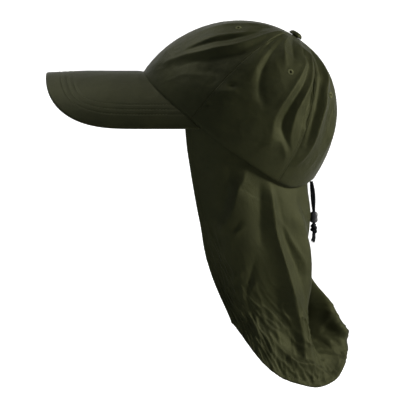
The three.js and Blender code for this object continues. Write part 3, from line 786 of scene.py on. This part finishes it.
def flapSkin(across, down):
    across, down = np.broadcast_arrays(np.asarray(across, float), np.asarray(down, float))
    base = plainFlap(across, down)
    normal = flapOutward(across, down)
    raised = foldSum(base, normal, flapFolds, plainFlap)
    raised = raised + foldSum(base, normal, flapFolds, plainFlap, -1, flapWear["hiddenShare"])
    raised = raised + noiseSum(base, flapWear["slack"])
    u, v = across * flapWear["halfWidth"], down * flapWear["length"]
    drift = flapWear["drift"] * noiseAt(cells(u / 25, v / 25), 13)
    crinkle = flapWear["lengthwise"] * (ridges(cells((u + drift) / 6.4, v / 24, 2.3), 14) - 0.2)
    slanted = ridges(cells((u + 0.8 * v + drift) / 9, (v - 0.8 * u) / 24, 5.1), 15) - 0.2
    crinkle = crinkle + flapWear["slanted"] * slanted
    edge = flapEdgeDistance(across, down)
    worn = 0.08 + 0.92 * smoothStep(0.5, 0.74, np.abs(across) * 0.2 + down * 0.85)
    worn = worn * (0.35 + 0.65 * smoothStep(1, 10, edge))
    below = smoothStep(0.55, 0.8, down)
    low = smoothStep(0.5, 0.8, down)
    alongEdge = cells(u / (5 - 2.9 * below), v / (5 + 9 * below), 7.7)
    reach = 9 + 13 * smoothStep(0.45, 0.1, np.abs(across)) * low
    pucker = 0.12 + 0.5 * smoothStep(0.45, 0.8, down) + 1.3 * smoothStep(0.4, 0.1, np.abs(across)) * low
    pucker = hem["pucker"] * pucker * noiseAt(alongEdge, 16) * np.exp(-edge / reach)
    band = hem["step"] * (1 - smoothStep(hem["width"] - 0.4, hem["width"] + 0.4, edge))
    stitched = hem["groove"] * np.exp(-((edge - hem["stitchAt"]) / 0.7) ** 2)
    rounded = hem["round"] * np.exp(-(edge / 0.5) ** 2)
    heldBack = flap["heldBack"] * (1 - smoothStep(0.0, 0.2, down))
    lift = (raised + worn * crinkle) * smoothStep(-0.01, 0.1, down)
    return base + normal * (lift + pucker + band - stitched - rounded - heldBack)[..., None]


def makeFlap():
    tuckShare = 0.03

    def surface(u, v):
        across = 2 * edgeSpread(u, 0.25) - 1
        down = np.where(v < tuckShare, v / tuckShare - 1, (v - tuckShare) / (1 - tuckShare))
        return flapSkin(across, down), flapOutward(across, down)

    mesh = clothMesh("neck_flap_cloth", 252, 194, surface, (335, 200))
    piece = addPiece("neck_flap_cloth", mesh, "flapCloth", ["neck_flap"])
    thicken(piece, flap["thickness"])
    return piece


flapPiece = makeFlap()
print("stage: flap")


# The peak: a stiff board covered with the same cloth and quilted in rows along its edge
peak = {
    "length": 92,
    "thickness": 3,
    "droop": 1.6,
    "arch": 2.6,  # how much higher the middle of the arch is than the rim's own line
    "droopStart": 0.55,
    "halfAngle": 78,
    "squareness": 3.3,
    "edgeRound": 1.9,
    "stitchRows": [14.7, 20.2, 26.2],
    "quiltDepth": 0.28,
    "quiltWidth": 0.75,
    "padding": 0.12,  # how high the cloth swells between the rows
    "slack": [(0.35, 30, 21), (0.12, 9, 22)],  # rows of height, cell and seed
    "gap": 0.35,
    "underRim": 3.5,  # how far the board goes on inside the crown's rim
}


def peakRear(angle):
    return rimPoint(angle, crown["thickness"] / 2, -peak["gap"])


# How far the board stands out in front of the rim, at a share of its half width
def peakNose(share):
    return peak["length"] * (1 - share ** peak["squareness"]) ** (1 / peak["squareness"])


def makePeakLines():
    angles = np.linspace(0, peak["halfAngle"], 240)
    rear = peakRear(angles)
    arch = np.r_[0, np.cumsum(np.hypot(np.diff(rear[:, 1]), np.diff(rear[:, 2])))]
    front = rear[0, 0] - peakNose(arch / arch[-1])
    return {"angle": angles, "arch": arch, "front": front, "rear": rear[:, 0], "rimFront": rear[0, 0]}


peakLines = makePeakLines()


def peakFront(angle):
    return np.interp(np.abs(angle), peakLines["angle"], peakLines["front"])


def peakArch(angle):
    return np.sign(angle) * np.interp(np.abs(angle), peakLines["angle"], peakLines["arch"])


def peakOutline():
    share = np.sin(np.linspace(0, math.pi / 2, 160))
    arch = share * peakLines["arch"][-1]
    rim = peakLines["rimFront"]
    side = [(arch[-1], x) for x in (rim + 8, rim + 16, rim + 24, peakLines["rear"][-1] + 4)]
    half = np.vstack([np.stack([arch, rim - peakNose(share)], axis=-1), side])
    return np.vstack([half[:0:-1] * [-1, 1], half])


# Top of the peak at an angle of the rim and a place along X, with the upward direction there
def peakTop(angle, x):
    angle = np.asarray(angle, float)
    point = peakRear(angle)
    side = peakRear(angle + 0.5) - peakRear(angle - 0.5)
    up = unit(np.stack([side[..., 0] * 0, side[..., 2], -side[..., 1]], axis=-1))
    up = np.where(up[..., 2:] < 0, -up, up)
    out = np.clip((peakLines["rimFront"] - x) / peak["length"], 0, None)
    fall = peak["droop"] * np.clip((out - peak["droopStart"]) / (1 - peak["droopStart"]), 0, None) ** 2
    lift = peak["arch"] * (1 - smoothStep(0, 0.75, np.abs(peakArch(angle)) / peakLines["arch"][-1]))
    level = point[..., 2] - fall + lift * smoothStep(-0.1, 0.06, out)
    return np.stack([x, point[..., 1], level], axis=-1), up


def peakEdgeDistance(arch, x):
    away = fromLine(np.stack([arch, x], axis=-1).reshape(-1, 2), peakOutline())[2]
    return np.linalg.norm(away, axis=1).reshape(np.shape(arch))


# The skin on either face of the board: face is 1 on the top and -1 below
def peakSkin(angle, x, face):
    point, up = peakTop(angle, x)
    edge = peakEdgeDistance(peakArch(angle), x)
    inside = np.clip(edge / peak["edgeRound"], 0, 1)
    half = peak["thickness"] / 2 * np.sqrt(np.clip(1 - (1 - inside) ** 2, 0, 1))
    quilt = sum(np.exp(-((edge - row) / peak["quiltWidth"]) ** 2) for row in peak["stitchRows"])
    between = peak["padding"] * np.sin(np.clip(edge, 0, 29) * 1.1) ** 2 * smoothStep(8, 14, edge)
    uneven = noiseSum(point, peak["slack"])
    flat = smoothStep(0, 4, edge)
    skin = half - peak["quiltDepth"] * quilt * flat + (between + uneven * (face > 0)) * flat
    middle = point - up * peak["thickness"] / 2
    return middle + up * (np.asarray(face) * skin)[..., None], up * np.asarray(face)[..., None]


def makePeak():
    def surface(u, v):
        angle = peak["halfAngle"] * np.sin((2 * u - 1) * math.pi / 2)
        onTop = v >= 0.5
        toFront = np.where(onTop, (1 - v) * 2, np.clip((v - 0.02) / 0.48, 0, 1))
        face = np.where(onTop | (v < 0.01), 1.0, -1.0)
        spread = np.sin(toFront * math.pi / 2)
        rear = peakRear(angle)[:, 0] + peak["underRim"] * smoothStep(peak["halfAngle"], 55, np.abs(angle))
        x = rear + (peakFront(angle) - rear) * np.where(v < 0.01, 0, spread)
        return peakSkin(angle, x, face)

    mesh = clothMesh("peak_cloth", 170, 150, surface, (240, 190))
    bm = bmesh.new()
    bm.from_mesh(mesh)
    bmesh.ops.remove_doubles(bm, verts=bm.verts, dist=2e-6)
    bmesh.ops.recalc_face_normals(bm, faces=bm.faces)
    bm.to_mesh(mesh)
    bm.free()
    addPiece("peak_cloth", mesh, "cloth", ["peak"])


makePeak()
print("stage: peak")


# One plump thread, copied to every place in a list: its middle, its direction, its up and its size along each
def threadCopies(name, places, segments=6, rings=5):
    bm = bmesh.new()
    bmesh.ops.create_uvsphere(bm, u_segments=segments, v_segments=rings, radius=1)
    shape = np.array([v.co for v in bm.verts])
    corners = [[v.index for v in face.verts] for face in bm.faces]
    bm.free()
    verts, faces = [], []
    for middle, along, up, size in places:
        up = unit(np.asarray(up, float))
        along = unit(along - up * np.dot(along, up))
        axes = np.stack([along, np.cross(up, along), up]) * np.asarray(size)[:, None]
        faces += [[i + len(verts) * len(shape) for i in corner] for corner in corners]
        verts.append(middle + shape @ axes)
    mesh = bpy.data.meshes.new(name)
    mesh.from_pydata((np.concatenate(verts) * mm).tolist(), [], faces)
    mesh.polygons.foreach_set("use_smooth", [True] * len(mesh.polygons))
    mesh.update()
    return mesh


# The places of a row of stitches along points on a surface
def stitchRow(points, normals, stitch):
    points, normals = np.asarray(points, float), np.asarray(normals, float)
    lengths = np.r_[0, np.cumsum(np.linalg.norm(np.diff(points, axis=0), axis=1))]
    count = max(1, int(lengths[-1] / stitch["pitch"]))
    places = []
    for i in range(count):
        ends = [(i + 0.5) * lengths[-1] / count + k * stitch["length"] / 2 for k in (-1, 1)]
        start, end = (np.array([np.interp(at, lengths, points[:, k]) for k in range(3)]) for at in ends)
        up = normals[min(np.searchsorted(lengths, ends[0]), len(points) - 1)]
        places.append(((start + end) / 2, end - start, up,
                       (stitch["length"] / 2, stitch["width"] / 2, stitch["width"] / 2)))
    return places


stitches = {"pitch": 3.0, "length": 2.4, "width": 0.42}


def makeSeamStitches():
    height = np.linspace(0.004, 0.93, 420)
    for place, lines in {"front": [3], "side": [4, 2], "back": [5, 1, 6]}.items():
        places = []
        for seam in lines:
            line = seamAngle(seam, height)
            for side in (-1, 1):
                angle = line + side * seamFinish["stitchLine"] / degreeSize(line, height)
                angle = np.where(angle > 180, angle - 360, angle)
                normals = crownOutward(angle, height)
                places += stitchRow(crownSkin(angle, height) + normals * 0.02, normals, stitches)
        addPiece(f"topstitch_{place}_seams", threadCopies("topstitch", places), "thread", [])


def makePeakStitches():
    outline = peakOutline()
    step = np.gradient(outline, axis=0)
    inward = unit(np.stack([step[:, 1], -step[:, 0]], axis=-1))
    inward = inward * np.sign(inward[len(outline) // 2, 1])
    places = []
    for row in peak["stitchRows"]:
        line = outline + inward * row
        line = line[peakEdgeDistance(line[:, 0], line[:, 1]) > row - 0.25]
        angle = np.sign(line[:, 0]) * np.interp(np.abs(line[:, 0]), peakLines["arch"], peakLines["angle"])
        ahead = line[:, 1] < peakRear(angle)[:, 0] - 1.5
        line, angle = line[ahead], angle[ahead]
        for face in (1, -1):
            points, normals = peakSkin(angle, line[:, 1], face * np.ones(len(line)))
            places += stitchRow(points + normals * 0.03, normals, stitches)
    addPiece("topstitch_peak", threadCopies("topstitch", places), "quiltThread", [])


def makeHemStitches():
    inset = hem["stitchAt"]
    side = np.linspace(0.01, 0.9, 160)
    across = np.r_[np.ones(160), np.linspace(1, -1, 420), -np.ones(160)]
    down = np.r_[side, np.ones(420), side[::-1]]
    widthMm, lengthMm, near = 150, 200, 0.004
    for _ in range(14):
        lack = np.clip(inset - flapEdgeDistance(across, down), -3, 6)
        slopeU = (flapEdgeDistance(across + near, down) - flapEdgeDistance(across - near, down)) / (2 * near)
        slopeV = (flapEdgeDistance(across, down + near) - flapEdgeDistance(across, down - near)) / (2 * near)
        scale = 0.7 * lack / np.maximum(slopeU ** 2 / widthMm ** 2 + slopeV ** 2 / lengthMm ** 2, 0.3)
        across = np.clip(across + scale * slopeU / widthMm ** 2, -1, 1)
        down = np.clip(down + scale * slopeV / lengthMm ** 2, 0, 1)
    normals = flapOutward(across, down)
    points = flapSkin(across, down) + normals * 0.03
    keep = np.r_[True, np.linalg.norm(np.diff(points, axis=0), axis=1) > 0.05]
    places = stitchRow(points[keep], normals[keep], stitches)
    return addPiece("topstitch_flap_hem", threadCopies("topstitch", places), "thread", [])


# Vent eyelets: satin stitches laid side by side round a small hole
def makeEyelets():
    reach = (eyelets["radius"] + eyelets["bore"]) / 2
    half = (eyelets["radius"] - eyelets["bore"]) / 2
    for place, (middle, level) in eyelets["spots"].items():
        for hand, sign in hands.items():
            angle, height = np.array([sign * middle]), np.array([level])
            centre, normal = crownSkin(angle, height)[0], crownOutward(angle, height)[0]
            first = unit(np.cross(normal, (0.2, 1, 0)))
            second = np.cross(normal, first)
            places = []
            for i in range(eyelets["stitches"]):
                turn = 2 * math.pi * i / eyelets["stitches"]
                away = first * math.cos(turn) + second * math.sin(turn)
                uneven = 1 + 0.08 * math.sin(i * 2.7)
                places.append((centre + away * reach, away, normal,
                               (half * uneven, eyelets["threadWidth"] / 2, eyelets["rise"])))
            name = f"eyelet_{place}_{hand}_thread"
            mesh = threadCopies(name, places, 10, 7)
            addPiece(name, mesh, "eyeletThread", [f"eyelet_{place}_{hand}"])


# The covered button on top
button = {"radius": 6.8, "height": 4.3, "shank": 3, "gap": 0.35, "tuck": 1.2, "pleats": 9, "pleatDepth": 0.16}


def makeButton():
    profile = [(0.01, -button["tuck"]), (button["shank"], -button["tuck"]), (button["shank"], 0.2)]
    for i in range(15):
        turn = (i / 14) ** 0.9 * math.pi / 2
        profile.append((button["radius"] * math.cos(turn) ** 0.62 - 0.35 * (i == 0),
                        button["gap"] + button["height"] * math.sin(turn) ** 0.95))
    profile[-1] = (0.01, profile[-1][1])
    bm = lathe(profile, 56, 2e-5)
    tilt = Matrix.Rotation(math.radians(opening["tilt"]), 4, "Y")
    foot = Vector(standing(np.array(crown["setback"]), np.array(0.0), np.array(float(crown["height"])))) * mm
    for vert in bm.verts:
        turn = math.atan2(vert.co.y, vert.co.x)
        reach = math.hypot(vert.co.x, vert.co.y) / mm / button["radius"]
        wave = math.sin(turn * button["pleats"] + 1.3 * math.sin(turn * 3))
        gather = button["pleatDepth"] * wave * max(0, reach - 0.55)
        vert.co += Vector((math.cos(turn), math.sin(turn), 0.3)) * gather * mm
        vert.co = foot + tilt @ vert.co
    addPiece("top_button_cloth", finishMesh("button", bm), "cloth", ["top_button"])


# The cord lock: a rounded block with two bores, a slight waist and a parting line
lock = {
    "x": 82,
    "top": -80.5,
    "height": 10.5,
    "width": 12,
    "depth": 8,
    "bore": 1.75,
    "spread": 2.5,
    "rounding": 3.2,
    "waist": 0.45,
    "parting": 0.18,
    "partingLevel": 2.9,
}


def superOval(turn, halfX, halfY, power=2.5):
    c, s = np.cos(turn), np.sin(turn)
    return (halfX * np.sign(c) * np.abs(c) ** (2 / power), halfY * np.sign(s) * np.abs(s) ** (2 / power))


def makeLock():
    around, rows = 72, 44
    high = lock["height"] / 2
    verts = []
    for j in range(rows + 1):
        t = -1 + 2 * j / rows
        level = high * np.sign(t) * (1 - (1 - abs(t)) ** 1.8)
        edge = np.clip((high - abs(level)) / lock["rounding"], 0, 1)
        shrink = 0.7 * lock["rounding"] * (1 - np.sqrt(1 - (1 - edge) ** 2))
        waist = lock["waist"] * np.exp(-(level / 2.2) ** 2)
        parting = lock["parting"] * np.exp(-((level - lock["partingLevel"]) / 0.22) ** 2)
        halfX = lock["depth"] / 2 - shrink - waist - parting
        halfY = lock["width"] / 2 - shrink - waist * 0.6 - parting
        x, y = superOval(np.linspace(0, 2 * np.pi, around, endpoint=False), halfX, halfY)
        verts.append(np.stack([x + lock["x"], y, x * 0 + level + lock["top"] - high], axis=-1))
    bm = bmesh.new()
    rings = [[bm.verts.new(Vector(v) * mm) for v in ring] for ring in verts]
    for low, up in zip(rings, rings[1:]):
        for i in range(around):
            k = (i + 1) % around
            bm.faces.new((low[i], low[k], up[k], up[i]))
    for ring in (rings[0][::-1], rings[-1]):
        bm.faces.new(ring)
    mesh = finishMesh("cord_lock_body", bm)
    body = addPiece("cord_lock_body", mesh, "lock", ["cord_lock"])
    for side in (-1, 1):
        punch = bmesh.new()
        middle = Matrix.Translation(Vector((lock["x"], side * lock["spread"], lock["top"] - high)) * mm)
        radius = lock["bore"] * mm
        bmesh.ops.create_cone(punch, cap_ends=True, segments=36, radius1=radius, radius2=radius,
                              depth=30 * mm, matrix=middle)
        drill = bpy.data.objects.new("drill", bpy.data.meshes.new("drill"))
        punch.to_mesh(drill.data)
        punch.free()
        scene.collection.objects.link(drill)
        cut = body.modifiers.new("bore", "BOOLEAN")
        cut.operation = "DIFFERENCE"
        cut.object = drill
        cut.solver = "EXACT"
        bpy.context.view_layer.update()
        done = bpy.data.meshes.new_from_object(body.evaluated_get(bpy.context.evaluated_depsgraph_get()))
        body.modifiers.clear()
        body.data = done
        bpy.data.objects.remove(drill)
    return body


# The knot: a strand wound twice round a core, with another crossing it, and the two cut ends below
knot = {"x": 82, "top": -91.4, "height": 10.1, "radius": 2.0, "turns": 2.15, "cord": 1.45}
tail = {"top": -101.6, "length": 8.6, "cord": 1.3, "spread": 1.2, "filaments": 9, "filamentRadius": 0.16}


def makeKnot():
    route = []
    middle = knot["x"]
    low = knot["top"] - knot["height"] + knot["cord"]
    high = knot["top"] - knot["cord"]
    steps = 60
    for i in range(steps + 1):
        t = i / steps
        turn = 2 * math.pi * knot["turns"] * t + 0.6
        reach = knot["radius"] * (1 - 0.22 * abs(2 * t - 1) ** 3)
        wobble = 0.14 * math.sin(turn * 0.5 + 0.7)
        level = high + (low - high) * (t + 0.03 * math.sin(turn))
        route.append((middle + reach * math.cos(turn) + wobble, reach * math.sin(turn), level))
    bridge = [(middle - 1.2, -1.3, high + 0.9), (middle + 0.2, -2.1, high - 2.0),
              (middle + 1.3, -2.3, low + 3.4), (middle + 1.3, -0.9, low - 0.2)]
    core = [(middle, 0, high + 0.9), (middle + 0.1, 0, (low + high) / 2), (middle, 0, low - 0.9)]
    parts = [finishMesh("turn", twistedStrand(line, knot["cord"] * share, start))
             for line, share, start in ((route, 1, 0.0), (bridge, 0.92, 1.0), (core, 1, 0.4))]
    mesh = finishMesh("cord_knot_wound", joinMeshes(parts))
    return addPiece("cord_knot_wound", mesh, "cord", ["cord_knot"])


def makeTail():
    parts = []
    for side in (-1, 1):
        end = tail["top"] - tail["length"] * (1 if side > 0 else 0.86)
        route = [(knot["x"] + 0.4 * side, side * tail["spread"] * 0.75, tail["top"] + 0.6),
                 (knot["x"] + 0.6 * side, side * tail["spread"], tail["top"] - 3.5),
                 (knot["x"] + 0.8 * side - 0.8, side * tail["spread"] * 1.1, end + 1.2)]
        parts.append(finishMesh("end", twistedStrand(route, tail["cord"], 0.5 * side)))
        for k in range(tail["filaments"]):
            turn = 2 * math.pi * k / tail["filaments"]
            foot = Vector(route[-1]) + Vector((math.cos(turn), math.sin(turn), 0)) * 0.8
            spread = Vector((math.cos(turn) * 0.35, math.sin(turn) * 0.35, -1.1 - 0.25 * math.sin(5 * turn)))
            parts.append(tubeMesh([foot + Vector((0, 0, 0.5)), foot, foot + spread], tail["filamentRadius"]))
    mesh = finishMesh("cord_tail_ends", joinMeshes(parts))
    return addPiece("cord_tail_ends", mesh, "cord", ["cord_tail"])


makeSeamStitches()
makePeakStitches()
hemStitches = makeHemStitches()
makeEyelets()
makeButton()
lockPiece = makeLock()
knotPiece = makeKnot()
tailPiece = makeTail()
print("stage: stitches, eyelets, button, lock and knot")


def declareSoft():
    for hand, others in (("left", [lockPiece, knotPiece, tailPiece]), ("right", [])):
        line = smoothLine(cords[hand], cords["step"]) * mm


declareSoft()


# A round white cove, brightest behind the cap, and soft lights: one high in front, one on the right,
# a weak one low on the left, and one for the far side
studio = {
    "floorLevel": -300,
    "floorRadius": 4600,
    "wallRadius": 5400,
    "wallHeight": 4500,
    "glow": 1.05,
    "dimGlow": 0.06,
    "surround": 0.03,
    "lights": [
        {"at": (-480, 240, 1180), "size": 420, "power": 9.4, "color": "#fffdee"},
        {"at": (1000, -60, 280), "size": 320, "power": 12, "color": "#fffce8"},
        {"at": (-1200, -1300, -150), "size": 700, "power": 4.8, "color": "#cdd6ff"},
        {"at": (-300, 1600, -200), "size": 700, "power": 7, "color": "#ffffff"},
    ],
}


def whiteCove():
    material, tree, surface = newMaterial("white studio cove", {
        "Base Color": linear("#c4c4c4"), "Roughness": 0.9, "Emission Color": linear("#ffffff")})
    place = addNode(tree, "ShaderNodeTexCoord")
    parts = addNode(tree, "ShaderNodeSeparateXYZ", None, {0: place.outputs["Object"]})
    level = addNode(tree, "ShaderNodeCombineXYZ", None, {0: parts.outputs[0], 1: parts.outputs[1]})
    away = addNode(tree, "ShaderNodeVectorMath", {"operation": "NORMALIZE"}, {0: level.outputs[0]})
    toward = addNode(tree, "ShaderNodeSeparateXYZ", None, {0: away.outputs[0]})
    ahead = rangeOf(tree, toward.outputs[1], 0.72, 0.92, kind="SMOOTHSTEP")
    beyond = rangeOf(tree, parts.outputs[1], 0.15, 0.5, kind="SMOOTHSTEP")
    glow = rangeOf(tree, productOf(tree, ahead, beyond), 0, 1, studio["dimGlow"], studio["glow"])
    plug(tree, surface, {"Emission Strength": glow})
    return material


def makeCove():
    floor, wall = studio["floorRadius"], studio["wallRadius"]
    profile = [(0, 0), (400, 0), (1500, 0), (floor, 0)]
    for i in range(1, 13):
        turn = i / 12 * math.pi / 2
        profile.append((floor + (wall - floor) * math.sin(turn), (wall - floor) * (1 - math.cos(turn))))
    profile.append((wall, studio["wallHeight"]))
    profile = [(radius, studio["floorLevel"] + level) for radius, level in profile]
    mesh = finishMesh("cove", lathe(profile, 96, 1e-5))
    mesh.materials.append(whiteCove())
    cove = bpy.data.objects.new("cove", mesh)
    scene.collection.objects.link(cove)


def makeLights():
    world = bpy.data.worlds.new("studio")
    world.use_nodes = True
    world.node_tree.nodes.clear()
    glow = addNode(world.node_tree, "ShaderNodeBackground", None, {
        "Color": linear("#ffffff"), "Strength": studio["surround"]})
    addNode(world.node_tree, "ShaderNodeOutputWorld", None, {"Surface": glow.outputs[0]})
    scene.world = world
    for i, light in enumerate(studio["lights"]):
        data = bpy.data.lights.new(f"softbox_{i}", "AREA")
        data.shape = "DISK"
        data.size = light["size"] * mm
        data.energy = light["power"]
        data.color = linear(light["color"])[:3]
        lamp = bpy.data.objects.new(f"softbox_{i}", data)
        lamp.location = Vector(light["at"]) * mm
        lamp.rotation_euler = (Vector((-20, 0, -60)) * mm - lamp.location).to_track_quat("-Z", "Y").to_euler()
        lamp.visible_camera = False
        scene.collection.objects.link(lamp)
    scene.view_settings.view_transform = "Standard"


makeCove()
makeLights()
print("stage: studio")
